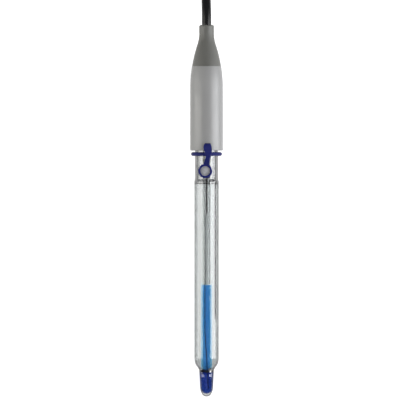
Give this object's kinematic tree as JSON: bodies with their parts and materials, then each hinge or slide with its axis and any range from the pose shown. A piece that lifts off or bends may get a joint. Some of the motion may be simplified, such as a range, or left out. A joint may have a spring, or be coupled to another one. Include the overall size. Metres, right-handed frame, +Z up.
{
  "type": "combination pH electrode",
  "caption": "Glass combination pH electrode with a protruding bulb, grey head, blue refill stopper and coax lead.",
  "frame": {"origin": "middle of the electrode without its cable, on the floor that it lies on", "axes": "+Z up, off the floor; +Y along the electrode, from its glass bulb to its cable"},
  "size_m": [0.0498, 0.3461, 0.0195],
  "materials": {
    "clear_glass": "clear",
    "bulb_glass": "clear",
    "stem_glass": "clear",
    "clear_liquid": "liquid",
    "blue_liquid": "liquid",
    "ceramic": "porous",
    "dark_wire": "drawn",
    "lead_wire": "tinned",
    "silver_wire": "dull",
    "grey_head": "satin",
    "olive_relief": "satin",
    "black_jacket": "satin",
    "blue_rubber": "satin",
    "grey_rubber": "matte",
    "seal_rubber": "matte",
    "red_seal": "matte",
    "potting": "cast",
    "copper": "drawn",
    "tinned_sleeve": "crimped",
    "white_core": "satin",
    "nickel": "bright",
    "gold_pin": "plated",
    "spring_bronze": "sprung",
    "white_insulator": "turned",
    "black_boot": "matte",
    "tie_strap": "woven"
  },
  "bodies": {
    "electrode": {"outer_tube": "clear_glass", "membrane_bulb": "bulb_glass", "inner_stem": "stem_glass", "inner_buffer": "blue_liquid", "reference_electrolyte": "clear_liquid", "ceramic_junction": "ceramic", "wire_sheath": "stem_glass", "measuring_wire": "dark_wire", "measuring_lead": "lead_wire", "reference_wire": "silver_wire", "head_cap": "grey_head", "bend_relief": "olive_relief", "cable_in_head": "black_jacket", "cable_core": "copper", "cable_screen": "copper", "core_crimp": "tinned_sleeve", "screen_crimp": "tinned_sleeve", "neck_seal": "seal_rubber", "stem_seal": "red_seal", "head_potting": "potting", "stopper_band": "blue_rubber", "stopper_strap": "blue_rubber", "cable_lead": "black_jacket", "cable_hank": "black_jacket", "cable_tail": "black_jacket", "hank_tie": "tie_strap", "plug_boot": "black_boot", "plug_ferrule": "nickel", "plug_screen": "copper", "cable_in_plug": "white_core", "plug_body": "nickel", "plug_insulator": "white_insulator", "plug_centre_pin": "gold_pin", "retaining_ring": "spring_bronze", "plug_gasket": "red_seal", "cone_spring": "spring_bronze"},
    "stopper": {"stopper_eyelet": "blue_rubber", "refill_plug": "grey_rubber"},
    "nut_washer": {"thrust_washer": "nickel"},
    "nut": {"coupling_nut": "nickel"}
  },
  "joints": [
    {"name": "stopper_pull", "type": "slide", "parent": "electrode", "child": "stopper", "axis": [0, -0.0198, 0.9998], "range_m": [0, 0.006], "deforming": ["stopper_strap"]},
    {"name": "nut_float", "type": "slide", "parent": "electrode", "child": "nut_washer", "axis": [0, 1, 0], "range_m": [0, 0.0008], "stiffness_N_per_m": 3000, "springref_m": -0.0005, "deforming": ["cone_spring"]},
    {"name": "nut_turn", "type": "hinge", "parent": "nut_washer", "child": "nut", "pos_m": [-0.0026, 0.24743, 0.00725], "axis": [0, 1, 0], "continuous": true}
  ]
}
